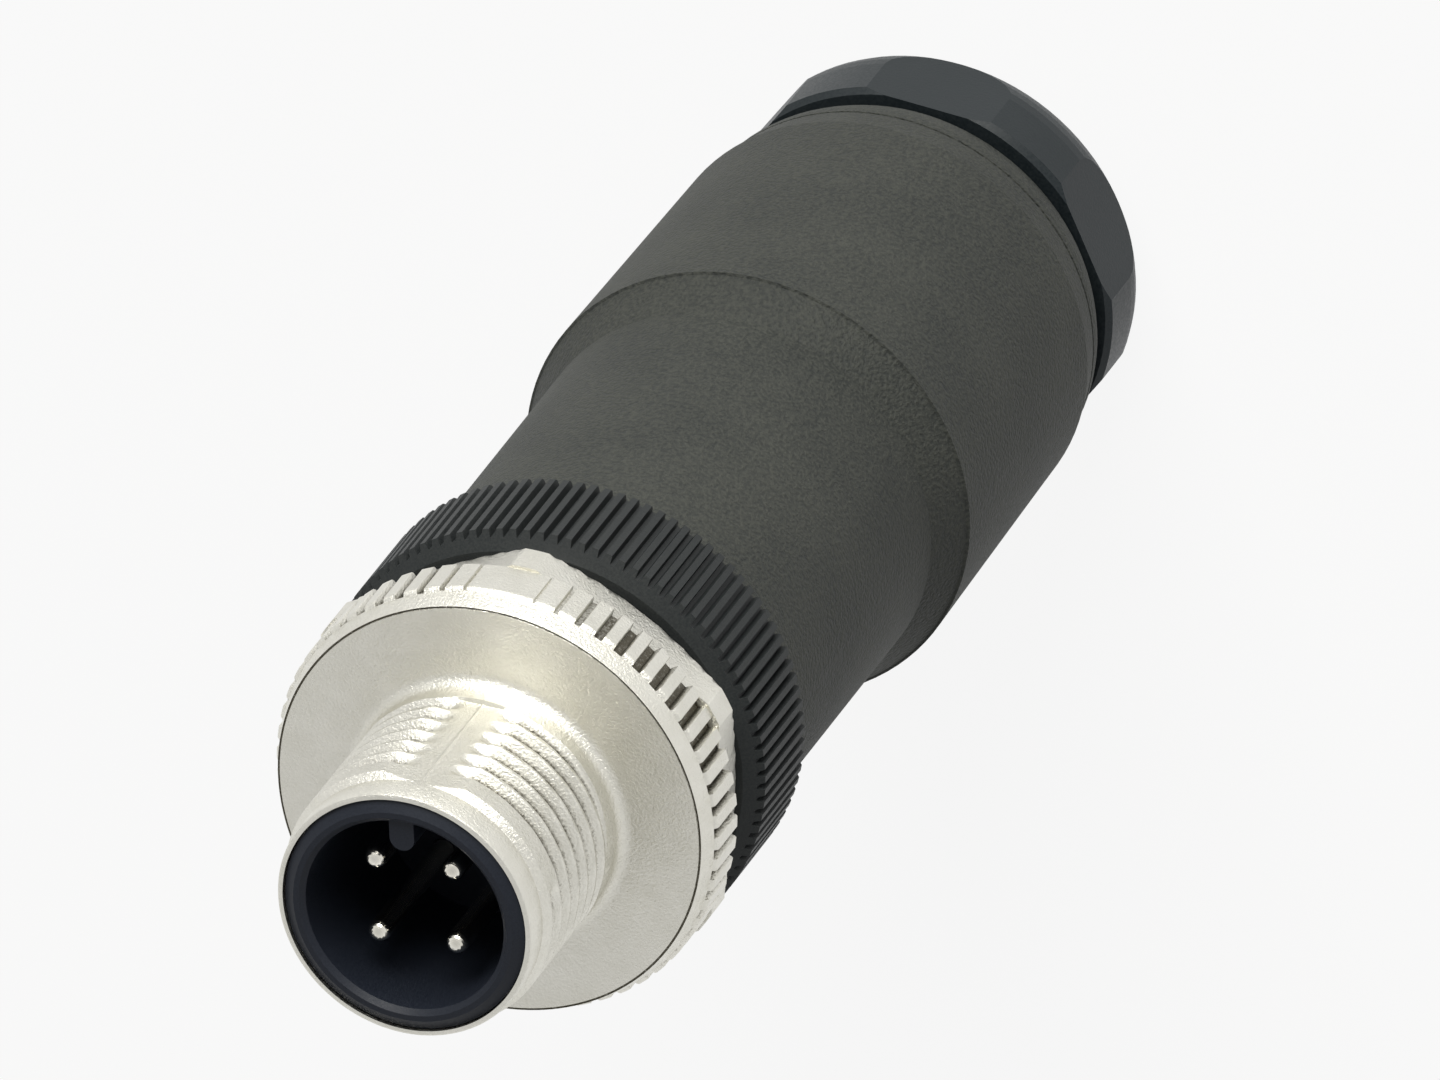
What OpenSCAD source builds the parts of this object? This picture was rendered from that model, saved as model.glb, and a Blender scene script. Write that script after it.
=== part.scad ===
// Round 4-pole plug with an M12 coupling screw, for fitting to a cable on site.
// It stands on its gland nut: +Z runs along the axis to the contact face, and Z = 0 is the nut's rear face.
// Every inset is measured on the radius.

/* [Main sizes] */
// Diameter over the knurled rim and the knurled ring
plug_d = 20; // [19:0.1:22]
// Diameter of the coupling thread over its crests
thread_d = 12; // [11.6:0.1:12.6]
// Diameter of the bore that the cable enters
cable_d = 8.4; // [6:0.1:9]

/* [Gland nut] */
// Length of the hexagonal head
nut_head_len = 5.7; // [4.5:0.1:8]
// Inset of the head's flats from the knurls
nut_flat_inset = 1; // [0.8:0.05:1.2]
// Inset of the head's trimmed corners from the knurls
nut_corner_inset = 0.55; // [0.3:0.05:0.7]
// Rounding at the rear of the head
nut_dome_r = 3.2; // [1:0.1:3.6]
// Bevel at the front edge of the head
nut_front_bevel = 0.25; // [0.1:0.05:0.5]
// Bevel at the mouth of the cable bore
cable_mouth_bevel = 0.6; // [0.2:0.1:1]
// Turning angle of the head as it was left
nut_angle = -8.5; // [-30:0.5:30]
// Open gap between the head and the housing
nut_gap = 0.6; // [0.55:0.05:3]
// Length of the threaded shank
shank_len = 7.8; // [7:0.1:8.7]
// Step from the cable bore to the wider bore inside the shank
shank_bore_step = 1; // [0.8:0.1:1.4]

/* [Clamping cage and cable seal] */
// Thickness of the cage's closed ring
cage_ring_len = 1.5; // [1:0.1:2]
// Inset of the cage's ring from the shank's thread
cage_inset = 0.4; // [0.2:0.05:0.6]
// Length of the cage's fingers
finger_len = 3.2; // [2.5:0.1:3.6]
// Drop of the fingers' outside from root to tip
finger_drop = 1.1; // [0.8:0.05:1.3]
// Thickness of the fingers at their tips
finger_wall = 1.2; // [1:0.05:1.5]
// Number of fingers
finger_count = 8; // [6:1:10]
// Width of the slots between fingers
finger_slot = 0.8; // [0.5:0.1:1]
// Length of the rubber cable seal
seal_len = 6.2; // [5:0.1:7]
// How much tighter the seal's hole is than the cable bore
seal_grip = 0.8; // [0.4:0.05:1]
// Depth of the seal's sealing grooves
seal_groove = 0.4; // [0.2:0.1:0.6]

/* [Housing] */
// Length of the wide rear section
body_len = 18.2; // [16:0.1:20]
// How far the wide section stands out beyond the knurls
body_swell = 0.15; // [0.05:0.01:0.3]
// Taper of the wide section from front to rear
body_taper = 0.25; // [0.1:0.01:0.4]
// Wall of the wide section over the gland nut's thread
body_wall = 2.3; // [2:0.05:2.6]
// Length of the two-step bevel at the rear
bevel_len = 3.4; // [2.5:0.1:4]
// Inset of the line between the two steps of the bevel
bevel_mid_inset = 0.35; // [0.2:0.01:0.5]
// Inset of the rear edge of the bevel
bevel_edge_inset = 0.9; // [0.6:0.05:1.1]
// Depth and width of the fine line between the two steps
bevel_line = 0.12; // [0.05:0.01:0.2]
// Length of the conical shoulder
shoulder_len = 2; // [1:0.1:3]
// Fine step at the wide edge of the shoulder
shoulder_step = 0.12; // [0.05:0.01:0.3]
// Length of the narrow front section
grip_len = 17; // [14:0.1:20]
// Inset of the narrow section from the knurls
grip_inset = 0.9; // [0.6:0.05:1]
// Taper of the narrow section from rear to front
grip_taper = 0.05; // [0.02:0.01:0.2]
// Wall of the narrow section round the wiring space
grip_wall = 2.1; // [1.9:0.05:2.3]
// Thickness of the inner web that the seal bears on
web_len = 3; // [2:0.1:4]
// How far the web reaches into the wiring space
web_reach = 2.4; // [1.8:0.1:2.6]

/* [Knurled ring] */
// Length of the knurled ring
ring_len = 5.2; // [5:0.1:6.5]
// Side wall of the ring, over the ridges
ring_side = 1.35; // [1.1:0.05:1.5]
// Front wall of the ring
ring_wall = 1.4; // [1:0.1:1.8]
// Number of ridges
ring_ridges = 100; // [60:2:110]
// Depth of the grooves between ridges
ring_groove = 0.32; // [0.1:0.02:0.4]
// Length of the bevel at the front of the ring
ring_bevel = 0.5; // [0.3:0.05:0.8]

/* [Coupling screw] */
// Gap between the knurled ring and the coupling screw
ring_gap = 0.2; // [0.15:0.05:0.5]
// Length of the hexagon behind the knurl
hex_len = 2.5; // [2:0.1:4]
// Inset of the hexagon's flats from the knurl
hex_flat_inset = 1; // [0.8:0.05:1.2]
// How far the hexagon's trimmed corners stand out beyond the knurl
hex_corner_out = 0.1; // [0.05:0.01:0.2]
// Turning angle of the coupling screw as it was left
screw_angle = 85.2; // [0:0.1:180]
// Length of the toothed part of the rim
knurl_len = 2.25; // [1.5:0.05:3]
// Number of teeth on the rim
knurl_teeth = 60; // [48:1:72]
// Depth of the grooves between teeth
knurl_groove = 0.4; // [0.2:0.02:0.5]
// Turning angle of the teeth against the parting line
knurl_shift = 1.5; // [0:0.1:6]
// Length of the plain conical band in front of the teeth
band_len = 0.85; // [0.5:0.05:1.5]
// Inset of the band's rear edge from the tops of the teeth
band_inset = 0.18; // [0.1:0.01:0.3]
// Inset of the disc's flat front face from the tops of the teeth
face_inset = 0.52; // [0.4:0.01:0.8]
// Length of the barrel in front of the disc
barrel_len = 9.65; // [8.5:0.05:11]
// Length of the threaded stretch
thread_len = 7.1; // [5:0.1:7.2]
// Pitch of the coupling thread
thread_pitch = 1; // [0.8:0.05:1.5]
// Depth of the thread's grooves
thread_groove = 0.5; // [0.2:0.02:0.56]
// Inset of the two parting flats from the thread's crests
flat_inset = 0.3; // [0.1:0.02:0.36]
// Width of the plain land along the middle of each parting flat
parting_land = 1.6; // [0.8:0.1:3]
// Inset of the smooth nose in front of the thread
nose_inset = 0.3; // [0.2:0.02:0.4]
// Length of the smooth nose
nose_len = 1.35; // [1.2:0.05:1.8]
// Fillet between the barrel and the disc
barrel_fillet = 0.6; // [0.3:0.1:0.9]

/* [Contact insert] */
// How far the plastic rim stands proud of the metal nose
rim_proud = 0.15; // [0:0.01:0.4]
// Inset of the rim from the thread's crests
rim_inset = 0.6; // [0.55:0.01:0.7]
// Length of the rim that holds the coupling screw
rim_len = 1; // [0.7:0.05:1.3]
// Drop of the rim's face from its crest to its outer edge
rim_slope = 0.3; // [0.1:0.02:0.5]
// Inset of the shroud from the thread's crests
shroud_inset = 1.1; // [1:0.01:1.2]
// Wall of the shroud
shroud_wall = 0.45; // [0.4:0.01:0.6]
// Depth of the contact cavity
cavity_depth = 8.9; // [7:0.1:10]
// Width of the coding key
key_w = 1.1; // [0.8:0.05:1.4]
// Height of the coding key above the shroud's wall
key_h = 1.45; // [1:0.05:1.6]
// How far the key's face lies below the rim
key_drop = 0.35; // [0.1:0.05:1]
// Inset of the rear spigot from the shroud
spigot_inset = 0.9; // [0.7:0.05:1.1]

/* [Contacts] */
// Pitch circle of the four contact pins
pin_circle_d = 4.95; // [4.8:0.01:5]
// Diameter of a contact pin
pin_d = 1; // [0.9:0.02:1]
// Depth of the pin tips below the rim
pin_recess = 1.2; // [0.6:0.1:2.5]
// Diameter of the screw terminal at the rear of a pin
terminal_d = 3; // [2.8:0.05:3]
// Length of the screw terminal
terminal_len = 8; // [7:0.1:9]
// Hole for the wire in the terminal
wire_d = 1.5; // [1.2:0.05:1.6]
// Depth of the wire hole
wire_depth = 6; // [5:0.1:6.5]
// Shank diameter of a terminal screw
tscrew_d = 1.54; // [1.3:0.02:1.6]
// Head diameter of a terminal screw
tscrew_head_d = 2.1; // [1.9:0.05:2.2]
// Head length of a terminal screw
tscrew_head_len = 1.3; // [1:0.05:1.4]
// Depth of the slot in a terminal screw
tscrew_slot = 0.5; // [0.3:0.05:0.6]

/* [Contact carrier] */
// Thickness of the flange behind the ring's front wall
flange_len = 1.2; // [1:0.05:1.5]
// Inset of the flange from the housing's front thread
flange_inset = 0.45; // [0.3:0.05:0.6]
// Length of the hub that fits the housing's bore
hub_len = 4; // [3.5:0.1:5]
// Depth of the socket that takes the contact insert's spigot
socket_depth = 4.1; // [3.8:0.1:4.2]
// Inset of the terminal block from the wiring space
block_inset = 0.6; // [0.4:0.05:0.7]
// Length of the terminal block behind the hub
block_len = 8.6; // [7.8:0.1:9.5]
// Thickness of the sealing ring's cord
oring_cord = 1.15; // [1:0.05:1.3]

/* [Fits] */
// Radial clearance of a running fit
run_clear = 0.06; // [0.03:0.01:0.08]
// Radial clearance of a fixed fit
seat_clear = 0.03; // [0.02:0.01:0.05]
// Clearance of the cage's fingers in the nut's cone
clamp_clear = 0.15; // [0.1:0.01:0.25]
// Axial play of the coupling screw and of the ring
end_play = 0.1; // [0.1:0.01:0.15]
// Slack between the cage and the cable seal
seal_slack = 0.55; // [0.52:0.01:0.7]

/* [Hidden] */
$fn = 96;
e = 0.01;
edge_break = 0.3;
fine_break = 0.1;
lead_in = 0.4;
face_line = 0.06;
web_setback = 1;
terminal_web = 0.4;
head_gap = 0.6;
slot_w = 0.3;
oring_setback = 0.8;
oring_side_gap = 0.15;
thread_relief = 0.1;
thread_flank = 34;
thread_root = 0.16;
hex_rear_angle = 35;
ring_groove_share = 0.55;
knurl_groove_share = 0.45;
least_fade = 0.25;

// Stations along the axis, from the rear face of the nut to the rim.
z_nut = nut_head_len;
z_body = z_nut + nut_gap;
z_line = z_body + bevel_len / 2;
z_bevel = z_body + bevel_len;
z_shoulder = z_body + body_len;
z_grip = z_shoulder + shoulder_len;
z_ring = z_grip + grip_len;
z_ring_front = z_ring + ring_len;
z_screw = z_ring_front + ring_gap;
z_knurl = z_screw + hex_len;
z_band = z_knurl + knurl_len;
z_disc = z_band + band_len;
z_nose = z_disc + barrel_len;
z_thread_top = z_nose - nose_len;
z_thread_end = z_thread_top - thread_len;
z_rim = z_nose + rim_proud;

// Stations inside, from the coupling screw back to the terminals.
z_lip = z_rim - rim_len;
z_floor = z_rim - cavity_depth;
z_ring_wall = z_ring_front - ring_wall;
z_flange = z_ring_wall - end_play;
z_hub = z_flange - flange_len;
z_neck = z_hub - end_play;
z_block = z_hub - hub_len;
z_block_end = z_block - block_len;
z_spigot = z_flange - socket_depth + end_play;
z_pin_tip = z_rim - pin_recess;
z_terminal = z_block + terminal_web;
z_terminal_end = z_terminal - terminal_len;
z_tscrew = z_terminal_end + wire_depth / 2;

// Stations of the cable clamp, from the housing's web back to the nut.
z_seat = z_shoulder - web_setback;
z_seal = z_seat - seal_len;
z_cage = z_seal - seal_slack;
z_finger = z_cage - cage_ring_len;
z_tip = z_finger - finger_len;
z_shank = z_body + shank_len;

// Radii of the housing and of what fits it.
plug_r = plug_d / 2;
body_r = plug_r + body_swell;
body_rear_r = body_r - body_taper;
grip_r = plug_r - grip_inset;
wiring_r = grip_r - grip_wall;
web_r = wiring_r - web_reach;
neck_r = plug_r - ring_side;
flange_r = neck_r - flange_inset;
hub_r = wiring_r - run_clear;
block_r = wiring_r - block_inset;
oring_mid_r = wiring_r - oring_cord / 2 - seat_clear;
oring_floor_r = oring_mid_r - oring_cord / 2 - seat_clear;

// Radii of the cable clamp.
cable_r = cable_d / 2;
shank_r = body_rear_r - body_wall;
seal_r = shank_r;
cage_r = shank_r - cage_inset;
finger_root_r = cage_r - edge_break;
finger_tip_r = finger_root_r - finger_drop;
cage_bore_r = finger_tip_r - finger_wall;

// Radii of the coupling screw, of the insert and of the contacts.
crest_r = thread_d / 2;
nose_r = crest_r - nose_inset;
rim_r = crest_r - rim_inset;
shroud_r = crest_r - shroud_inset;
cavity_r = shroud_r - shroud_wall;
spigot_r = shroud_r - spigot_inset;
screw_bore_r = shroud_r + run_clear;
hex_r = plug_r - hex_flat_inset;
hex_corner_r = plug_r + hex_corner_out;
band_r = plug_r - band_inset;
face_r = plug_r - face_inset;
key_r = key_w / 2;
pin_r = pin_d / 2;
terminal_r = terminal_d / 2;
pin_angles = [45, 135, 225, 315];

// Points of an arc in a profile.
function arc(cx, cy, r, from, to, steps = 8) =
    [for (i = [0:steps]) let (t = from + (to - from) * i / steps) [cx + r * cos(t), cy + r * sin(t)]];

// One groove of a straight knurl: sloping sides and a flat floor, with a tooth left on each side.
function groove(mid, pitch, r, depth, share) =
    let (half = pitch * share / 2, floor_half = half * 0.55, bottom = r - depth)
    [[r * cos(mid - half), r * sin(mid - half)],
     [bottom * cos(mid - floor_half), bottom * sin(mid - floor_half)],
     [bottom * cos(mid + floor_half), bottom * sin(mid + floor_half)],
     [r * cos(mid + half), r * sin(mid + half)]];

// The metal rim is cast in two halves, so its grooves fade out towards the parting line.
function fade(mid) = min(1, 2 * abs(sin(mid)));

module turned(points) {
    rotate_extrude() polygon(points);
}

module bore(r, from, to) {
    translate([0, 0, from]) cylinder(r = r, h = to - from);
}

// --- cable clamp ---

module nut_head() {
    corner_r = plug_r - nut_corner_inset;
    flats = 2 * (plug_r - nut_flat_inset);
    intersection() {
        rotate([0, 0, nut_angle]) cylinder(d = flats / cos(30), h = z_nut, $fn = 6);
        turned(concat(
            [[0, 0]],
            arc(corner_r - nut_dome_r, nut_dome_r, nut_dome_r, -90, 0, 10),
            [[corner_r, z_nut - nut_front_bevel], [corner_r - nut_front_bevel, z_nut], [0, z_nut]]));
    }
}

module gland_nut() {
    shank_bore_r = cable_r + shank_bore_step;
    slope = finger_drop / finger_len;
    cone_tip_r = finger_tip_r + clamp_clear;
    cone_mouth_r = cone_tip_r + slope * (z_shank - z_tip);
    z_cone = z_tip - edge_break;
    color([0.15, 0.18, 0.19]) difference() {
        union() {
            nut_head();
            bore(shank_r, z_nut - e, z_shank);
        }
        turned([[0, -e],
                [cable_r + cable_mouth_bevel + e, -e],
                [cable_r, cable_mouth_bevel],
                [cable_r, z_nut],
                [shank_bore_r, z_nut],
                [shank_bore_r, z_cone],
                [cone_tip_r, z_cone],
                [cone_tip_r, z_tip],
                [cone_mouth_r, z_shank],
                [cone_mouth_r, z_shank + e],
                [0, z_shank + e]]);
    }
}

module clamping_cage() {
    color([0.82, 0.8, 0.74]) difference() {
        turned([[cage_bore_r, z_tip],
                [finger_tip_r, z_tip],
                [finger_root_r, z_finger],
                [cage_r, z_finger],
                [cage_r, z_cage],
                [cage_bore_r, z_cage]]);
        for (i = [0:finger_count - 1]) rotate([0, 0, (i + 0.5) * 360 / finger_count])
            translate([0, -finger_slot / 2, z_tip - 1])
                cube([2 * cage_r, finger_slot, finger_len + 1]);
    }
}

module cable_seal() {
    land_r = seal_r - seal_groove;
    hole_r = cable_r - seal_grip;
    color([0.12, 0.12, 0.13]) difference() {
        turned([[hole_r, z_seal],
                [land_r, z_seal],
                [seal_r, z_seal + seal_groove],
                [seal_r, z_seat - seal_groove],
                [land_r, z_seat],
                [hole_r, z_seat]]);
        for (i = [1:3]) translate([0, 0, z_seal + i * seal_len / 4])
            turned([[land_r, 0], [seal_r + e, -seal_groove], [seal_r + e, seal_groove]]);
    }
}

// --- housing ---

module housing_sleeve() {
    edge_r = body_rear_r - bevel_edge_inset;
    mid_r = body_rear_r - bevel_mid_inset;
    bow = z_line - z_body;
    z_step = z_ring - end_play;
    thread_r = shank_r + run_clear;
    color([0.2, 0.21, 0.21]) difference() {
        turned(concat(
            [[0, z_body]],
            [for (t = [0:0.25:1]) [edge_r + (mid_r - edge_r) * sin(90 * t), z_body + bow * t]],
            [[mid_r - bevel_line, z_line + bevel_line / 2],
             [mid_r, z_line + bevel_line],
             [body_rear_r, z_bevel],
             [body_r, z_shoulder],
             [body_r - shoulder_step, z_shoulder + shoulder_step / 2],
             [grip_r + grip_taper, z_grip],
             [grip_r, z_step],
             [neck_r, z_step],
             [neck_r, z_neck - edge_break],
             [neck_r - edge_break, z_neck],
             [0, z_neck]]));
        turned([[0, z_body - e],
                [thread_r + lead_in + e, z_body - e],
                [thread_r, z_body + lead_in],
                [thread_r, z_seat],
                [web_r, z_seat],
                [web_r, z_seat + web_len],
                [wiring_r, z_seat + web_len],
                [wiring_r, z_neck - lead_in],
                [wiring_r + lead_in + e, z_neck + e],
                [0, z_neck + e]]);
    }
}

// --- knurled ring ---

module knurled_ring() {
    pitch = 360 / ring_ridges;
    outline = [for (i = [0:ring_ridges - 1])
        each groove(i * pitch, pitch, plug_r, ring_groove, ring_groove_share)];
    color([0.23, 0.25, 0.26]) difference() {
        intersection() {
            translate([0, 0, z_ring]) linear_extrude(height = ring_len) polygon(outline);
            turned([[0, z_ring],
                    [plug_r - fine_break, z_ring],
                    [plug_r, z_ring + fine_break],
                    [plug_r, z_ring_front - ring_bevel],
                    [plug_r - ring_groove - ring_bevel, z_ring_front],
                    [0, z_ring_front]]);
        }
        bore(screw_bore_r, z_ring, z_ring_front + e);
        bore(neck_r + run_clear, z_ring - e, z_ring_wall);
    }
}

// --- coupling screw ---

// The hexagon's rear edge is chamfered all round, which cuts its corners back the most.
module screw_hexagon() {
    chamfer_r = hex_r - edge_break;
    intersection() {
        translate([0, 0, z_screw]) cylinder(r = hex_r / cos(30), h = hex_len, $fn = 6);
        turned([[0, z_screw],
                [chamfer_r, z_screw],
                [hex_corner_r, z_screw + (hex_corner_r - chamfer_r) * tan(hex_rear_angle)],
                [hex_corner_r, z_knurl],
                [0, z_knurl]]);
    }
}

// The grooves are blind: they end at the plain band in front and at the hexagon's corners behind.
module screw_rim() {
    pitch = 360 / knurl_teeth;
    outline = [for (i = [0:knurl_teeth - 1]) let (mid = (i + 0.5) * pitch + knurl_shift, f = fade(mid))
        each (f > least_fade ? groove(mid, pitch, plug_r, knurl_groove * f, knurl_groove_share * f)
                             : [[plug_r * cos(mid), plug_r * sin(mid)]])];
    intersection() {
        translate([0, 0, z_knurl]) linear_extrude(height = knurl_len) polygon(outline);
        turned(concat([[0, z_knurl], [plug_r + e, z_knurl]],
                      arc(band_r, z_band - band_inset, band_inset + e, 0, 80, 4),
                      [[0, z_band + e]]));
    }
    turned([[0, z_band - e], [band_r, z_band - e], [face_r + face_line, z_disc - face_line],
            [0, z_disc - face_line]]);
}

module screw_barrel() {
    relief_r = crest_r - thread_relief;
    turned(concat(
        [[0, z_band], [face_r, z_band], [face_r, z_disc]],
        arc(relief_r + barrel_fillet, z_disc + barrel_fillet, barrel_fillet, 270, 180, 8),
        [[relief_r, z_thread_end],
         [crest_r, z_thread_end + thread_relief],
         [crest_r, z_thread_top - nose_inset],
         [nose_r, z_thread_top],
         [nose_r, z_nose - fine_break],
         [nose_r - fine_break, z_nose],
         [0, z_nose]]));
}

module parting_flats() {
    for (side = [0, 180]) rotate([0, 0, side])
        translate([crest_r - flat_inset, -crest_r, z_thread_end]) cube([crest_r, thread_d, thread_len]);
}

// Plain grooves at the thread's pitch stand for its helix. The mould leaves no groove on the lands.
module thread_grooves() {
    root_r = crest_r - thread_groove;
    root_half = thread_root / 2;
    mouth_half = root_half + (thread_groove + e) * tan(thread_flank);
    difference() {
        for (z = [z_thread_top - nose_inset - thread_pitch : -thread_pitch : z_thread_end + mouth_half])
            turned([[root_r, z - root_half], [crest_r + e, z - mouth_half],
                    [crest_r + e, z + mouth_half], [root_r, z + root_half]]);
        translate([-thread_d, -parting_land / 2, z_thread_end]) cube([2 * thread_d, parting_land, thread_len]);
    }
}

module coupling_screw() {
    color([0.78, 0.77, 0.73]) rotate([0, 0, screw_angle]) difference() {
        union() {
            screw_hexagon();
            screw_rim();
            difference() {
                screw_barrel();
                parting_flats();
                thread_grooves();
            }
        }
        bore(screw_bore_r, z_screw - e, z_nose);
        bore(rim_r + run_clear, z_lip - end_play, z_nose + e);
    }
}

// --- contact insert and carrier ---

module coding_key() {
    mid = cavity_r - key_h + key_r;
    translate([0, 0, z_floor - e]) linear_extrude(height = z_rim - key_drop - z_floor + e) {
        translate([-key_r, mid]) square([key_w, shroud_r - mid - shroud_wall / 2]);
        translate([0, mid]) circle(r = key_r);
    }
}

module pin_holes(r, from, to) {
    for (a = pin_angles) rotate([0, 0, a]) translate([pin_circle_d / 2, 0, 0]) bore(r, from, to);
}

module contact_insert() {
    rim_crest_r = (rim_r + cavity_r) / 2;
    mouth_r = cavity_r + shroud_wall / 2;
    color([0.12, 0.14, 0.17]) difference() {
        union() {
            difference() {
                turned([[0, z_spigot],
                        [spigot_r, z_spigot],
                        [spigot_r, z_flange],
                        [shroud_r, z_flange],
                        [shroud_r, z_lip],
                        [rim_r, z_lip],
                        [rim_r, z_rim - rim_slope],
                        [rim_crest_r, z_rim],
                        [0, z_rim]]);
                turned([[0, z_floor],
                        [cavity_r, z_floor],
                        [cavity_r, z_rim - shroud_wall / 2],
                        [mouth_r + e, z_rim + e],
                        [0, z_rim + e]]);
            }
            coding_key();
        }
        pin_holes(pin_r + seat_clear, z_spigot - e, z_floor + e);
    }
}

module contact_carrier() {
    groove_top = z_hub - oring_setback;
    groove_end = groove_top - oring_cord - 2 * oring_side_gap;
    color([0.55, 0.56, 0.55]) difference() {
        turned([[0, z_block_end],
                [block_r - edge_break, z_block_end],
                [block_r, z_block_end + edge_break],
                [block_r, z_block],
                [hub_r, z_block],
                [hub_r, groove_end],
                [oring_floor_r, groove_end],
                [oring_floor_r, groove_top],
                [hub_r, groove_top],
                [hub_r, z_hub],
                [flange_r, z_hub],
                [flange_r, z_flange],
                [0, z_flange]]);
        bore(spigot_r + seat_clear, z_flange - socket_depth, z_flange + e);
        pin_holes(pin_r + seat_clear, z_terminal, z_flange);
        pin_holes(terminal_r + seat_clear, z_block_end - e, z_terminal);
        for (a = pin_angles) rotate([0, 0, a]) translate([pin_circle_d / 2, 0, z_tscrew])
            rotate([0, 90, 0]) cylinder(d = tscrew_head_d + fine_break, h = 2 * block_r);
    }
}

module carrier_seal() {
    z_mid = z_hub - oring_setback - oring_side_gap - oring_cord / 2;
    color([0.1, 0.1, 0.1]) translate([0, 0, z_mid]) rotate_extrude()
        translate([oring_mid_r, 0]) circle(d = oring_cord, $fn = 32);
}

// --- contacts ---

// A turned pin: a rounded tip in front, and a terminal behind with a wire hole and a side hole.
module contact_pin(a) {
    color([0.85, 0.83, 0.76]) rotate([0, 0, a]) translate([pin_circle_d / 2, 0, 0]) difference() {
        turned(concat(
            [[0, z_terminal_end], [terminal_r, z_terminal_end], [terminal_r, z_terminal], [pin_r, z_terminal]],
            arc(0, z_pin_tip - pin_r, pin_r, 0, 90, 8)));
        bore(wire_d / 2, z_terminal_end - e, z_terminal_end + wire_depth);
        translate([0, 0, z_tscrew]) rotate([0, 90, 0])
            cylinder(r = tscrew_d / 2 + seat_clear, h = terminal_d);
    }
}

module terminal_screws() {
    shank_start = wire_d / 2 + fine_break;
    head_start = terminal_r + head_gap;
    slot_floor = head_start + tscrew_head_len - tscrew_slot;
    color([0.8, 0.8, 0.78]) for (a = pin_angles) rotate([0, 0, a])
        translate([pin_circle_d / 2, 0, z_tscrew]) rotate([0, 90, 0]) difference() {
            union() {
                bore(tscrew_d / 2, shank_start, head_start + e);
                bore(tscrew_head_d / 2, head_start, head_start + tscrew_head_len);
            }
            translate([-tscrew_head_d, -slot_w / 2, slot_floor]) cube([2 * tscrew_head_d, slot_w, 1]);
        }
}

gland_nut();
clamping_cage();
cable_seal();
housing_sleeve();
knurled_ring();
coupling_screw();
contact_insert();
contact_carrier();
carrier_seal();
contact_pin(pin_angles[0]);  // pin_1
contact_pin(pin_angles[1]);  // pin_2
contact_pin(pin_angles[2]);  // pin_3
contact_pin(pin_angles[3]);  // pin_4
terminal_screws();
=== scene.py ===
"""Looks of the M12 plug: camera, light, materials, and the detailed metal coupling screw.

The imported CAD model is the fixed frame. It stands on its gland nut, with +Z along its axis.
Lengths are in millimetres and angles in degrees, unless a comment says otherwise. MM turns
millimetres into Blender's metres.
"""

import math

import bpy
from mathutils import Matrix, Vector


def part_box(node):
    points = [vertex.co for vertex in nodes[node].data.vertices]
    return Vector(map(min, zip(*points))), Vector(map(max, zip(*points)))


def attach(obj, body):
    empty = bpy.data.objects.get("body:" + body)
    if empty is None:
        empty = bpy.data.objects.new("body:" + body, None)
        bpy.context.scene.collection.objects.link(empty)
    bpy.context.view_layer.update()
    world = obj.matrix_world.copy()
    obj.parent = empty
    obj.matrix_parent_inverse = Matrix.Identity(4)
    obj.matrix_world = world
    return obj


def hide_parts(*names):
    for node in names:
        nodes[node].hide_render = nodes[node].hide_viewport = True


MM = 0.001

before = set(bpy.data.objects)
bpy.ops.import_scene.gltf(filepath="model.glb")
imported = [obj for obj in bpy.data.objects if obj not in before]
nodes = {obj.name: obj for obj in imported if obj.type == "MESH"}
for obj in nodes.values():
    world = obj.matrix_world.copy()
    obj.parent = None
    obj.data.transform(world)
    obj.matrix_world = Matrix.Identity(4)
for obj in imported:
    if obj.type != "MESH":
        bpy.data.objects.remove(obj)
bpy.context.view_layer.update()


# --- camera -------------------------------------------------------------------------------------

AZIMUTH = 54.6  # from +X towards +Y
ELEVATION = 54.4
AXIS_SLOPE = 51.5  # how steeply the plug's axis rises in the picture, towards its rear
PICTURE_WIDTH = 60.1  # at the rim
AIM = (13.25, 15.75)  # right and up from the rim's centre to the picture's centre
LENS = 900.0
SENSOR = 36.0
CLIP_START, CLIP_END = 0.1, 10.0  # metres


def picture_axes():
    """The directions right, up and towards the viewer, in the plug's frame."""
    az, el, slope = (math.radians(a) for a in (AZIMUTH, ELEVATION, AXIS_SLOPE))
    side = Vector((math.cos(az), math.sin(az), 0))
    axis = Vector((0, 0, 1))
    across = side.cross(axis)
    towards = math.cos(el) * side + math.sin(el) * axis
    rearward = math.sin(el) * side - math.cos(el) * axis
    right = math.cos(slope) * rearward + math.sin(slope) * across
    up = math.sin(slope) * rearward - math.cos(slope) * across
    return right, up, towards


RIGHT, UP, TOWARDS = picture_axes()
RIM_CENTRE = Vector((0, 0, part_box("contact_insert")[1].z))


def basis(x, y, z):
    """A rotation whose columns are the three directions."""
    return Matrix((x, y, z)).transposed().to_4x4()


def add_camera():
    data = bpy.data.cameras.new("camera")
    data.lens, data.sensor_width = LENS, SENSOR
    data.clip_start, data.clip_end = CLIP_START, CLIP_END
    camera = bpy.data.objects.new("camera", data)
    bpy.context.scene.collection.objects.link(camera)
    distance = PICTURE_WIDTH * LENS / SENSOR
    target = RIM_CENTRE + (AIM[0] * RIGHT + AIM[1] * UP) * MM
    place = Matrix.Translation(target + TOWARDS * distance * MM)
    camera.matrix_world = place @ basis(RIGHT, UP, TOWARDS)
    bpy.context.scene.camera = camera


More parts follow.
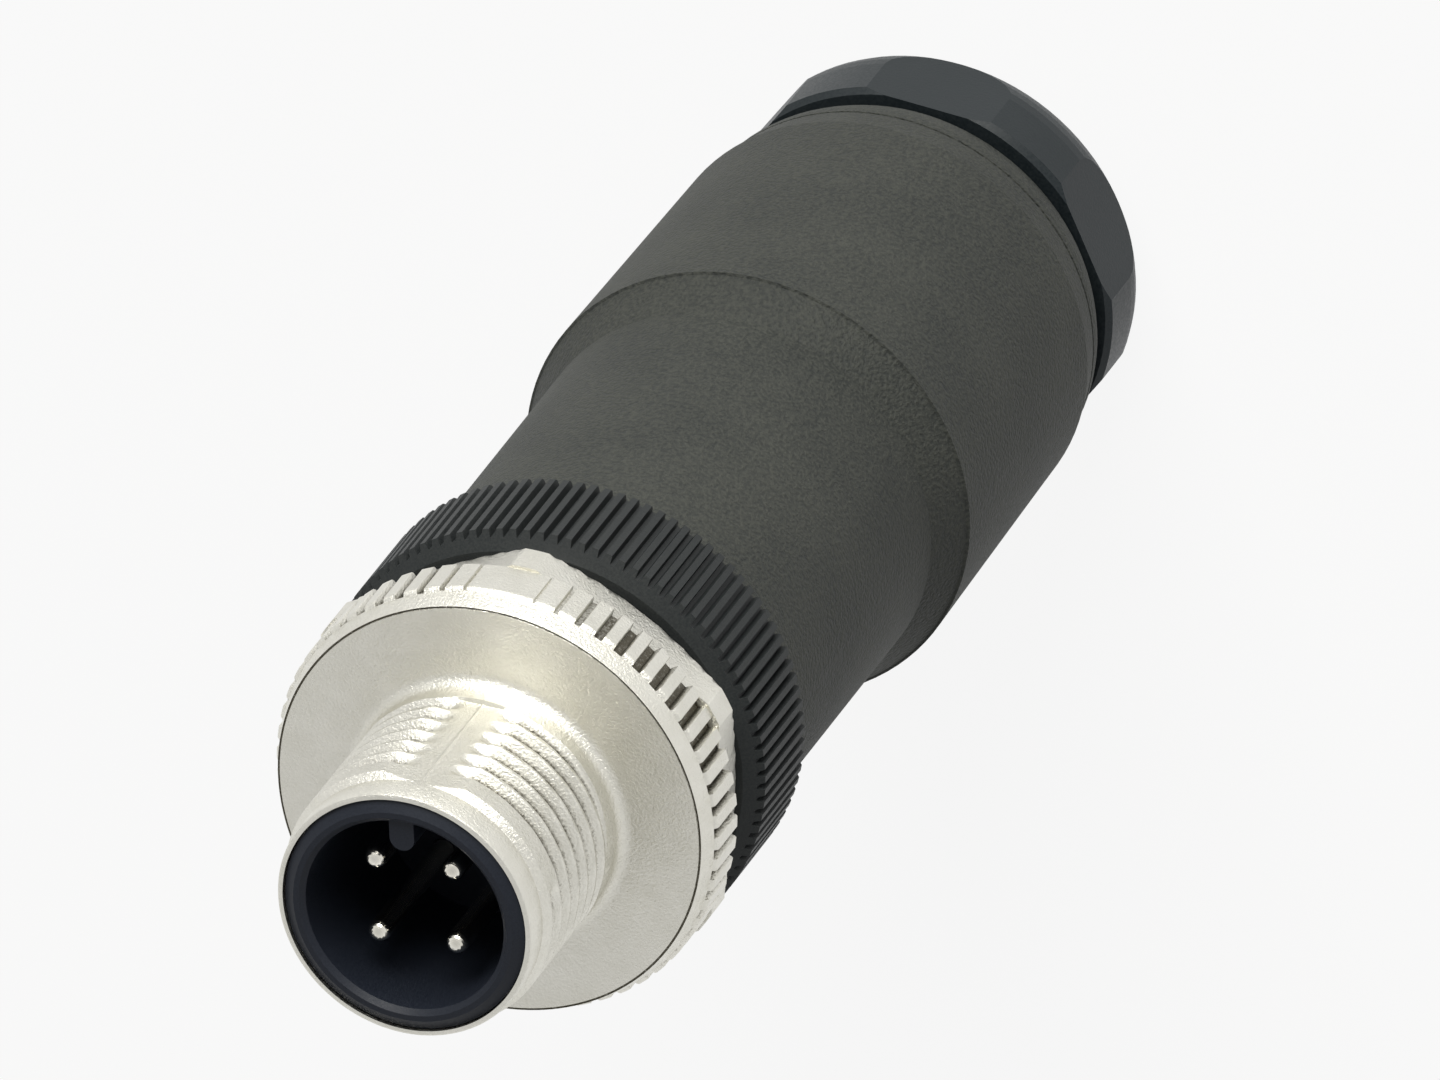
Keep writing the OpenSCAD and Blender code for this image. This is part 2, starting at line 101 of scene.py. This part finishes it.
def add_lamp(name, azimuth, elevation, distance, watts, size, colour):
    """A square soft box aimed at the plug. Its distance and size are in metres."""
    data = bpy.data.lights.new(name, "AREA")
    data.energy, data.size, data.color = watts, size, colour
    lamp = bpy.data.objects.new(name, data)
    bpy.context.scene.collection.objects.link(lamp)
    az, el = math.radians(azimuth), math.radians(elevation)
    direction = Vector((math.cos(el) * math.cos(az), math.cos(el) * math.sin(az), math.sin(el)))
    offset = distance * direction
    facing = offset.to_track_quat("Z", "Y").to_matrix().to_4x4()
    lamp.matrix_world = Matrix.Translation(RIM_CENTRE / 2 + offset) @ facing
    lamp.visible_camera = False


# --- node trees -----------------------------------------------------------------------------------

NOISE_LOW, NOISE_HIGH = 0.35, 0.65  # most of a noise's values lie between these
WAVE_SCALE = 2.0 / MM  # of the wave texture: rings about 0.16 mm apart


def new_material(name):
    """A material with its node tree and its main shader."""
    material = bpy.data.materials.new(name)
    material.use_nodes = True
    tree = material.node_tree
    return material, tree, tree.nodes["Principled BSDF"]


def add_node(tree, kind, **values):
    """A node with its properties set by name, and its inputs by their label."""
    node = tree.nodes.new(kind)
    for key, value in values.items():
        if key in node.inputs.keys():
            node.inputs[key].default_value = value
        else:
            setattr(node, key, value)
    return node


def noise(tree, size_mm, detail=2.0, roughness=0.5):
    """A noise whose blotches are about size_mm across, in the plug's own frame."""
    place = tree.nodes.get("place") or add_node(tree, "ShaderNodeTexCoord", name="place")
    scale = 1 / (size_mm * MM)
    texture = add_node(tree, "ShaderNodeTexNoise", Scale=scale, Detail=detail, Roughness=roughness)
    tree.links.new(place.outputs["Object"], texture.inputs["Vector"])
    return texture.outputs["Fac"]


def spread(tree, value, low, high, start=NOISE_LOW, end=NOISE_HIGH):
    """value from start to end, turned into low to high."""
    ramp = add_node(tree, "ShaderNodeMapRange")
    for key, number in zip(("From Min", "From Max", "To Min", "To Max"), (start, end, low, high)):
        ramp.inputs[key].default_value = number
    tree.links.new(value, ramp.inputs["Value"])
    return ramp.outputs["Result"]


def blend_colours(tree, share, first, second):
    """The first colour where share is 0, the second where it is 1."""
    mix = add_node(tree, "ShaderNodeMix", data_type="RGBA")
    mix.inputs["A"].default_value = (*first, 1)
    mix.inputs["B"].default_value = (*second, 1)
    tree.links.new(share, mix.inputs["Factor"])
    return mix.outputs["Result"]


def bump(tree, shader, height, depth_mm):
    """Fine relief that follows height, in the shader's normal."""
    relief = add_node(tree, "ShaderNodeBump", Strength=1.0, Distance=depth_mm * MM)
    tree.links.new(height, relief.inputs["Height"])
    tree.links.new(relief.outputs["Normal"], shader.inputs["Normal"])


def satin_nickel():
    """Nickel plate on a die casting: a fine sandy skin, faintly cloudy.

    A mesh attribute, from 0 to 1, says where a dark brownish colour lies. It is partly a film in the
    hollows and partly painted shade in the grooves, the thread's roots, the bore and the disc's fine
    line.
    """
    material, tree, shader = new_material("satin_nickel")
    shader.inputs["Metallic"].default_value = 1.0
    cloud = spread(tree, noise(tree, size_mm=1.6, detail=5, roughness=0.65), 0, 1)
    clean = blend_colours(tree, cloud, (0.72, 0.705, 0.635), (0.77, 0.755, 0.69))
    sand = noise(tree, size_mm=0.13, detail=3, roughness=0.65)
    film_and_shade = add_node(tree, "ShaderNodeAttribute", attribute_name="film_and_shade")
    patchy = add_node(tree, "ShaderNodeMath", operation="ADD")
    tree.links.new(film_and_shade.outputs["Fac"], patchy.inputs[0])
    tree.links.new(sand, patchy.inputs[1])
    # the dark brownish colour: partly a film in the hollows, partly painted shade there
    dark_film_and_shade = add_node(tree, "ShaderNodeMix", data_type="RGBA", B=(0.11, 0.10, 0.075, 1))
    tree.links.new(clean, dark_film_and_shade.inputs["A"])
    share = spread(tree, patchy.outputs[0], 0, 1, start=0.75, end=1.25)
    tree.links.new(share, dark_film_and_shade.inputs["Factor"])
    tree.links.new(dark_film_and_shade.outputs["Result"], shader.inputs["Base Color"])
    tree.links.new(spread(tree, sand, 0.28, 0.46), shader.inputs["Roughness"])
    bump(tree, shader, sand, depth_mm=0.05)
    return material


def moulded(name, colour, tone_and_sheen_colour, roughness, grain_mm, depth_mm):
    """Moulded plastic: a spark-eroded grain whose tops are painted lighter as a painted sheen, and a
    slightly uneven tone at random.
    """
    material, tree, shader = new_material(name)
    grain = noise(tree, grain_mm)
    tone_and_sheen = add_node(tree, "ShaderNodeMath", operation="ADD", use_clamp=True)
    tree.links.new(spread(tree, noise(tree, size_mm=5.0, detail=3), 0, 0.25), tone_and_sheen.inputs[0])
    # the grain's tops take the lighter colour: a painted sheen
    tree.links.new(spread(tree, grain, 0, 0.75), tone_and_sheen.inputs[1])
    mixed = blend_colours(tree, tone_and_sheen.outputs[0], colour, tone_and_sheen_colour)
    tree.links.new(mixed, shader.inputs["Base Color"])
    gloss = spread(tree, grain, roughness - 0.05, roughness + 0.07)
    tree.links.new(gloss, shader.inputs["Roughness"])
    shader.inputs["Specular IOR Level"].default_value = 0.25
    bump(tree, shader, grain, depth_mm)
    return material


def turned_metal(name, colour, dark_colour, roughness):
    """Bright turned metal, with the faint rings that a lathe leaves."""
    material, tree, shader = new_material(name)
    shader.inputs["Metallic"].default_value = 1.0
    place = add_node(tree, "ShaderNodeTexCoord", name="place")
    rings = add_node(tree, "ShaderNodeTexWave", wave_type="BANDS", bands_direction="Z",
                     Scale=WAVE_SCALE, Distortion=0.6)
    tree.links.new(place.outputs["Object"], rings.inputs["Vector"])
    gloss = spread(tree, rings.outputs["Fac"], roughness, roughness + 0.08, start=0, end=1)
    tree.links.new(gloss, shader.inputs["Roughness"])
    patches = spread(tree, noise(tree, size_mm=0.8), 0, 1)
    mixed = blend_colours(tree, patches, dark_colour, colour)
    tree.links.new(mixed, shader.inputs["Base Color"])
    return material


def soft_rubber():
    """Dull black rubber, slightly dusty."""
    material, tree, shader = new_material("black_rubber")
    dust = spread(tree, noise(tree, size_mm=0.9, detail=4), 0, 1)
    mixed = blend_colours(tree, dust, (0.018, 0.018, 0.019), (0.035, 0.035, 0.034))
    tree.links.new(mixed, shader.inputs["Base Color"])
    shader.inputs["Roughness"].default_value = 0.75
    bump(tree, shader, noise(tree, size_mm=0.25, detail=3), depth_mm=0.01)
    return material


# --- stage ----------------------------------------------------------------------------------------

FLOOR_HALF = 4.0  # metres from the floor's middle to each side
FLOOR_WHITE = 0.9  # share of plain white in the floor, as it is seen
WORLD_WHITE, WORLD_TOP = 1.0, 0.6  # the world's strength as it is seen, near the floor and overhead
WORLD_LIGHT = 0.14  # its strength as it lights the plug


def seen_directly(tree):
    """1 for rays from the camera, or reflected or passed on by a glossy or clear surface."""
    path = add_node(tree, "ShaderNodeLightPath")
    total = path.outputs["Is Camera Ray"]
    for kind in ("Is Glossy Ray", "Is Transmission Ray"):
        larger = add_node(tree, "ShaderNodeMath", operation="MAXIMUM")
        tree.links.new(total, larger.inputs[0])
        tree.links.new(path.outputs[kind], larger.inputs[1])
        total = larger.outputs[0]
    return total


def add_floor():
    """A pale floor that keeps the plug's soft shadow but is otherwise almost white."""
    mesh = bpy.data.meshes.new("floor")
    signs = ((-1, -1), (1, -1), (1, 1), (-1, 1))
    corners = [(x * FLOOR_HALF, y * FLOOR_HALF, 0) for x, y in signs]
    mesh.from_pydata(corners, [], [(0, 1, 2, 3)])
    floor = bpy.data.objects.new("floor", mesh)
    bpy.context.scene.collection.objects.link(floor)
    material, tree, shader = new_material("floor")
    shader.inputs["Base Color"].default_value = (0.86, 0.86, 0.86, 1)
    shader.inputs["Roughness"].default_value = 0.9
    shader.inputs["Specular IOR Level"].default_value = 0.1
    glow = add_node(tree, "ShaderNodeEmission", Strength=1.0)
    share = add_node(tree, "ShaderNodeMath", operation="MULTIPLY")
    share.inputs[1].default_value = FLOOR_WHITE
    tree.links.new(seen_directly(tree), share.inputs[0])
    mix = add_node(tree, "ShaderNodeMixShader")
    tree.links.new(share.outputs[0], mix.inputs[0])
    tree.links.new(shader.outputs[0], mix.inputs[1])
    tree.links.new(glow.outputs[0], mix.inputs[2])
    tree.links.new(mix.outputs[0], tree.nodes["Material Output"].inputs["Surface"])
    mesh.materials.append(material)


def add_world():
    """A plain studio. It looks white near the floor and greyer overhead, and its light is weaker."""
    world = bpy.data.worlds.new("studio")
    world.use_nodes = True
    tree = world.node_tree
    place = add_node(tree, "ShaderNodeTexCoord")
    parts = add_node(tree, "ShaderNodeSeparateXYZ")
    tree.links.new(place.outputs["Generated"], parts.inputs[0])
    look = spread(tree, parts.outputs["Z"], WORLD_WHITE, WORLD_TOP, start=0, end=1)
    strength = add_node(tree, "ShaderNodeMix", data_type="FLOAT", A=WORLD_LIGHT)
    tree.links.new(seen_directly(tree), strength.inputs["Factor"])
    tree.links.new(look, strength.inputs["B"])
    tree.links.new(strength.outputs["Result"], tree.nodes["Background"].inputs["Strength"])
    tree.nodes["Background"].inputs["Color"].default_value = (1, 1, 1, 1)
    bpy.context.scene.world = world


# --- the coupling screw's mesh --------------------------------------------------------------------

# Its sizes, as in the solid that this mesh replaces.
SCREW_LOW, SCREW_HIGH = (corner.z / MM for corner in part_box("coupling_screw"))
PLUG_R = 10.0
HEX_R, HEX_CORNER_R, HEX_LEN = 9.0, 10.1, 2.5
KNURL_LEN, BAND_LEN, BAND_R, FACE_R = 2.25, 0.85, 9.82, 9.48
TEETH, GROOVE, GROOVE_SHARE, TOOTH_SHIFT = 60, 0.4, 0.45, 1.5
CREST_R, NOSE_R, RELIEF_R, PARTING_R = 6.0, 5.7, 5.9, 5.7
NOSE_LEN, THREAD_LEN, FILLET = 1.35, 7.1, 0.6
PITCH, THREAD_DEPTH = 1.0, 0.5
PARTING = 85.2  # direction of the mould's parting line, and of a corner of the hexagon
SCREW_BORE_R, RIM_SEAT_R, RIM_SEAT = 4.96, 5.46, 0.95

Z_KNURL = SCREW_LOW + HEX_LEN
Z_BAND = Z_KNURL + KNURL_LEN
Z_DISC = Z_BAND + BAND_LEN
Z_THREAD_TOP = SCREW_HIGH - NOSE_LEN
Z_THREAD_END = Z_THREAD_TOP - THREAD_LEN

# The rim's grooves. The ends of a groove's floor and of its lip are shares of its half width.
LEAST_FADE = 0.25  # a groove that would be shallower than this share is left out
FLOOR_END, LIP_END = 0.72, 1.15
LIP = 0.1  # share of the depth that rounds the top of a wall

# The thread's groove. Its profile is in pitches.
THREAD_EDGE, THREAD_WALL = 0.43, 0.34  # half its width, and how much of that is its sloping wall
THREAD_START, THREAD_ANGLE = 3.3, 28.0  # a point on it: depth behind the rim, and direction
THREAD_FIRST = 6.0  # direction in which it begins
FIRST_TURN = (THREAD_ANGLE - THREAD_FIRST) / 360 - 1  # the same, in turns along it from the point
THREAD_IN = (FIRST_TURN - 0.02, FIRST_TURN + 0.01)  # turns over which it fades in
THREAD_OUT = (5.1, 5.3)  # turns over which it fades out
THREAD_CLEAR = (6, 19)  # angle from a parting line over which it comes to its full depth

SEAM = 0.035  # height of the raised line at the parting
SEAM_ANGLE = 0.17  # a point of the mesh within this of a parting line lies on it
PARTING_ANGLES = (0, 0.8, 1.6, 3, 4.5, 6, 7.5, 9)  # of the mesh's points beside a parting line

# Edges and rows of the profile.
SHARP_ANGLE = 32  # edges sharper than this aren't shaded smooth
EDGE, EDGE_CUT = 0.1, 0.03  # the nose's rounded edge, and what it cuts from a square corner
ROW_STEP = 0.05  # between rows along the thread
FILLET_STEPS = 8
FILM_AND_SHADE_END_R, CLEAN_R = RELIEF_R + FILLET + 0.3, 8.0  # the disc's dark film and painted shade thin out between these
CONE_CROWN = 0.04  # how far the middle of the band's cone stands out from a straight line
FRONT_ROUNDING = 0.2  # length over which the rim's front edge is rounded
RIM_DROPS = (0.03, 0.07, 0.12, 0.18, 0.26, 0.6, 1.2, 1.8, KNURL_LEN - 0.05)
GROOVE_RAMP, RAMP_LEN = 0.22, 0.05  # a groove's floor is higher by this at its very front
REAR_BREAK = 0.04  # of the rim's rear edge
HEX_CHAMFER, CHAMFER_SLOPE = 0.3, 35  # the chamfer's width on the flats, and its angle to the end
HEX_RISES = (1.2, 0.98, 0.8, 0.6, 0.4, 0.25, 0.1)

# Shares of the dark colour, where the profile has it. It is partly a brownish film and partly painted
# shade in the bore, at the barrel's foot and in the rim's grooves.
BORE_FILM_AND_SHADE, FOOT_FILM_AND_SHADE, GROOVE_FILM_AND_SHADE = 0.5, 0.12, 0.8


def loop_grid(name, rows, angles, material):
    """A closed ring-shaped mesh. A row has a height, and, per angle, a radius and a share of a dark
    colour that is partly film and partly painted shade.

    The angles are in radians.
    """
    points = [
        (r * MM * math.cos(a), r * MM * math.sin(a), z * MM)
        for z, radii, _ in rows
        for r, a in zip(radii, angles)
    ]
    n, m = len(angles), len(rows)
    faces = [
        (i * n + j, i * n + (j + 1) % n, (i + 1) % m * n + (j + 1) % n, (i + 1) % m * n + j)
        for i in range(m)
        for j in range(n)
    ]
    mesh = bpy.data.meshes.new(name)
    mesh.from_pydata(points, [], faces)
    mesh.materials.append(material)
    film_and_shade = mesh.attributes.new("film_and_shade", "FLOAT", "POINT")
    film_and_shade.data.foreach_set("value", [share for _, _, shares in rows for share in shares])
    mesh.polygons.foreach_set("use_smooth", [True] * len(faces))
    mesh.set_sharp_from_angle(angle=math.radians(SHARP_ANGLE))
    mesh.update()
    piece = bpy.data.objects.new(name, mesh)
    bpy.context.scene.collection.objects.link(piece)
    return piece


def smooth_step(x, low, high):
    """0 up to low, 1 from high on, and a smooth rise between."""
    t = min(1, max(0, (x - low) / (high - low)))
    return t * t * (3 - 2 * t)


def turn_between(a, b):
    """The smallest angle from b to a, from -180 to 180."""
    return (a - b + 180) % 360 - 180


def within_turn(angle):
    """The same angle between 0 and 360, rounded so that equal ones meet."""
    return round(angle % 360, 3)


def parting_distance(angle):
    """The angle to the nearer parting line."""
    return min(abs(turn_between(angle, PARTING)), abs(turn_between(angle, PARTING + 180)))


def tooth_fade(angle):
    """How full the rim's grooves are: 1, falling to 0 over the last 30 degrees to a parting line."""
    return min(1, 2 * abs(math.sin(math.radians(angle - PARTING))))


def grooves():
    """Middle, half width and depth of each groove of the rim."""
    pitch = 360 / TEETH
    for i in range(TEETH):
        middle = PARTING + TOOTH_SHIFT + (i + 0.5) * pitch
        fade = tooth_fade(middle)
        if fade > LEAST_FADE:
            yield middle, pitch * GROOVE_SHARE / 2 * fade, GROOVE * fade


RIM_GROOVES = list(grooves())


def screw_angles():
    """Angles that meet the grooves' edges, the hexagon's trimmed corners and the parting lines."""
    pitch = 360 / TEETH
    corner = math.degrees(math.acos(HEX_R / HEX_CORNER_R))
    wanted = {within_turn(PARTING + TOOTH_SHIFT + i * pitch) for i in range(TEETH)}
    for side in (-1, 1):
        for middle, half, _ in RIM_GROOVES:
            for share in (FLOOR_END, 1, LIP_END):
                wanted.add(within_turn(middle + side * half * share))
        for i in range(6):
            wanted.add(within_turn(PARTING + 30 + 60 * i + side * corner))
        for away in PARTING_ANGLES:
            wanted.add(within_turn(PARTING + side * away))
            wanted.add(within_turn(PARTING + 180 + side * away))
    return sorted(wanted)


def groove_shape(offset, half):
    """Share of a groove's depth: 1 on its floor, and 0 outside the rounded top of its walls."""
    x = abs(offset) / half
    if x <= FLOOR_END:
        return 1.0
    if x <= 1:
        return LIP + (1 - LIP) * (1 - x) / (1 - FLOOR_END)
    return max(0, LIP * (LIP_END - x) / (LIP_END - 1))


def rim_radius(angle):
    """Radius of the toothed rim."""
    depth = 0
    for middle, half, full in RIM_GROOVES:
        offset = turn_between(angle, middle)
        if abs(offset) < LIP_END * half:
            depth = full * groove_shape(offset, half)
    return PLUG_R - depth


def hex_radius(angle):
    """Radius of the hexagon with its corners trimmed."""
    from_flat = (angle - PARTING - 30) % 60
    from_flat = min(from_flat, 60 - from_flat)
    return min(HEX_CORNER_R, HEX_R / math.cos(math.radians(from_flat)))


def envelope(z):
    """Radius of the barrel before its thread is cut: a crest between two 45 degree chamfers."""
    foot = RELIEF_R + max(0, z - Z_THREAD_END)
    nose = NOSE_R + max(0, Z_THREAD_TOP - z)
    return min(CREST_R, foot, nose)


def thread_depth(z, angle):
    """How deep the right-hand thread cuts at a height and an angle, in mm."""
    top = RIM_CENTRE.z / MM - THREAD_START
    turns_down = (top - z) / PITCH + turn_between(angle, THREAD_ANGLE) / 360
    nearest = round(turns_down)
    phase = abs(turns_down - nearest)
    cut = min(1, max(0, (THREAD_EDGE - phase) / THREAD_WALL))
    turning = nearest - turn_between(angle, THREAD_ANGLE) / 360  # along the groove, in turns
    started = smooth_step(turning, *THREAD_IN)
    ended = 1 - smooth_step(turning, *THREAD_OUT)
    away = smooth_step(parting_distance(angle), *THREAD_CLEAR)
    return THREAD_DEPTH * cut * started * ended * away


def barrel_radius(z, angle):
    """Radius of the threaded barrel, with a flat and a raised line at each parting line."""
    from_parting = math.radians(parting_distance(angle))
    radius = envelope(z)
    if Z_THREAD_END < z < Z_THREAD_TOP:
        radius = min(radius, PARTING_R / math.cos(from_parting))
    seam = SEAM if parting_distance(angle) < SEAM_ANGLE else 0
    return radius - thread_depth(z, angle) + seam


def screw_rows(degrees):
    """The closed profile, from the rear of the bore to the nose and back over the outside."""
    rows = []

    def ring(radius, z, dark_film_and_shade=0.0):
        rows.append((z, [radius] * len(degrees), [dark_film_and_shade] * len(degrees)))

    # bore, seat and nose, with painted shade and film in the bore
    ring(SCREW_BORE_R, SCREW_LOW, BORE_FILM_AND_SHADE)
    ring(SCREW_BORE_R, SCREW_HIGH - RIM_SEAT, BORE_FILM_AND_SHADE)
    ring(RIM_SEAT_R, SCREW_HIGH - RIM_SEAT, BORE_FILM_AND_SHADE)
    ring(RIM_SEAT_R, SCREW_HIGH)
    ring(NOSE_R - EDGE, SCREW_HIGH)
    ring(NOSE_R - EDGE_CUT, SCREW_HIGH - EDGE_CUT)
    ring(NOSE_R, SCREW_HIGH - EDGE)

    # threaded barrel, with a dark colour in the thread that is partly film and partly painted shade in
    # its roots
    z = Z_THREAD_TOP + ROW_STEP
    while z > Z_THREAD_END - 2 * ROW_STEP:
        radii = [barrel_radius(z, a) for a in degrees]
        rows.append((z, radii, [(thread_depth(z, a) / THREAD_DEPTH) ** 2 for a in degrees]))
        z -= ROW_STEP

    # fillet at the barrel's foot, and the disc, with specks of film and painted shade that thin out
    # across the disc
    for i in range(FILLET_STEPS + 1):
        turn = math.radians(180 + 90 * i / FILLET_STEPS)
        radius = RELIEF_R + FILLET * (1 + math.cos(turn))
        ring(radius, Z_DISC + FILLET * (1 + math.sin(turn)), FOOT_FILM_AND_SHADE)
    ring(FILM_AND_SHADE_END_R, Z_DISC, FOOT_FILM_AND_SHADE)
    ring(CLEAN_R, Z_DISC)

    # a fine turned line round the disc: distance out from FACE_R, depth, and share of the dark colour
    # that paints shade into the line
    for out, depth, share in ((-0.03, 0, 0), (0, 0.08, 0.8), (0.05, 0.08, 0.8), (0.07, 0.02, 0)):
        ring(FACE_R + out, Z_DISC - depth, share)

    # the band's cone
    ring((FACE_R + BAND_R) / 2 + CONE_CROWN, (Z_DISC + Z_BAND) / 2)
    ring(BAND_R, Z_BAND)

    # grooved rim, with a dark colour in its grooves that is partly film and partly painted shade
    teeth = [rim_radius(a) for a in degrees]
    dark_film_and_shade = [GROOVE_FILM_AND_SHADE * (PLUG_R - r) / GROOVE for r in teeth]
    for drop in RIM_DROPS:
        rounding = math.sin(min(1, drop / FRONT_ROUNDING) * math.pi / 2)
        front = BAND_R + (PLUG_R - BAND_R) * rounding
        ramp = GROOVE_RAMP * max(0, 1 - drop / RAMP_LEN)
        rows.append((Z_BAND - drop, [min(front, t + ramp) for t in teeth], dark_film_and_shade))
    rows.append((Z_KNURL, [t - REAR_BREAK for t in teeth], dark_film_and_shade))

    # hexagon, whose corners stand slightly proud of the rim
    flats = [hex_radius(a) for a in degrees]
    clean = [0.0] * len(degrees)
    proud = HEX_CORNER_R - PLUG_R
    rows.append((Z_KNURL - 0.001, [min(f, t + proud) for f, t in zip(flats, teeth)], clean))
    chamfer_r = HEX_R - HEX_CHAMFER
    slope = math.tan(math.radians(CHAMFER_SLOPE))
    for z in (Z_KNURL - 0.03, *(SCREW_LOW + rise for rise in HEX_RISES)):
        rows.append((z, [min(f, chamfer_r + (z - SCREW_LOW) / slope) for f in flats], clean))
    ring(chamfer_r, SCREW_LOW)
    return rows


def coupling_screw(material):
    """The screw with its right-hand thread and its fine grooves, in place of the plainer solid."""
    degrees = screw_angles()
    angles = [math.radians(a) for a in degrees]
    piece = loop_grid("coupling_screw_detail", screw_rows(degrees), angles, material)
    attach(piece, "coupling")
    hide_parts("coupling_screw")


# --- build ----------------------------------------------------------------------------------------

add_camera()
add_world()
add_floor()
add_lamp("key", azimuth=88, elevation=22, distance=0.6, watts=4.0, size=0.4, colour=(1.0, 0.99, 0.95))

NICKEL = satin_nickel()
FINISH = {"coupling_screw": NICKEL}

# Moulded parts: material, its darker and lighter colour, roughness, and grain's size and depth. The
# lighter colour is a painted sheen on the grain's tops, and partly a random tone.
for node, *look in (
    ("housing_sleeve", "housing_plastic", (0.024, 0.027, 0.025), (0.064, 0.067, 0.058), 0.62, 0.17, 0.1),
    ("knurled_ring", "ring_plastic", (0.016, 0.019, 0.020), (0.030, 0.033, 0.033), 0.5, 0.10, 0.01),
    ("gland_nut", "nut_plastic", (0.012, 0.017, 0.020), (0.022, 0.028, 0.031), 0.42, 0.12, 0.006),
    ("contact_insert", "black_insert", (0.011, 0.014, 0.022), (0.018, 0.022, 0.032), 0.45, 0.08, 0.004),
    ("contact_carrier", "grey_insulator", (0.30, 0.31, 0.30), (0.38, 0.39, 0.38), 0.5, 0.2, 0.005),
    ("clamping_cage", "cage_plastic", (0.60, 0.58, 0.52), (0.68, 0.66, 0.60), 0.5, 0.2, 0.005),
):
    FINISH[node] = moulded(*look)

FINISH["terminal_screws"] = turned_metal("screw_steel", (0.66, 0.66, 0.64), (0.50, 0.50, 0.48), 0.28)
FINISH["cable_seal"] = FINISH["carrier_seal"] = soft_rubber()
CONTACT = turned_metal("contact_metal", (0.90, 0.88, 0.80), (0.80, 0.77, 0.68), 0.12)
for i in range(1, 5):
    FINISH[f"pin_{i}"] = CONTACT
for node, material in FINISH.items():
    mesh = nodes[node].data
    mesh.materials.clear()
    mesh.materials.append(material)

coupling_screw(NICKEL)

bpy.context.scene.view_settings.view_transform = "Standard"
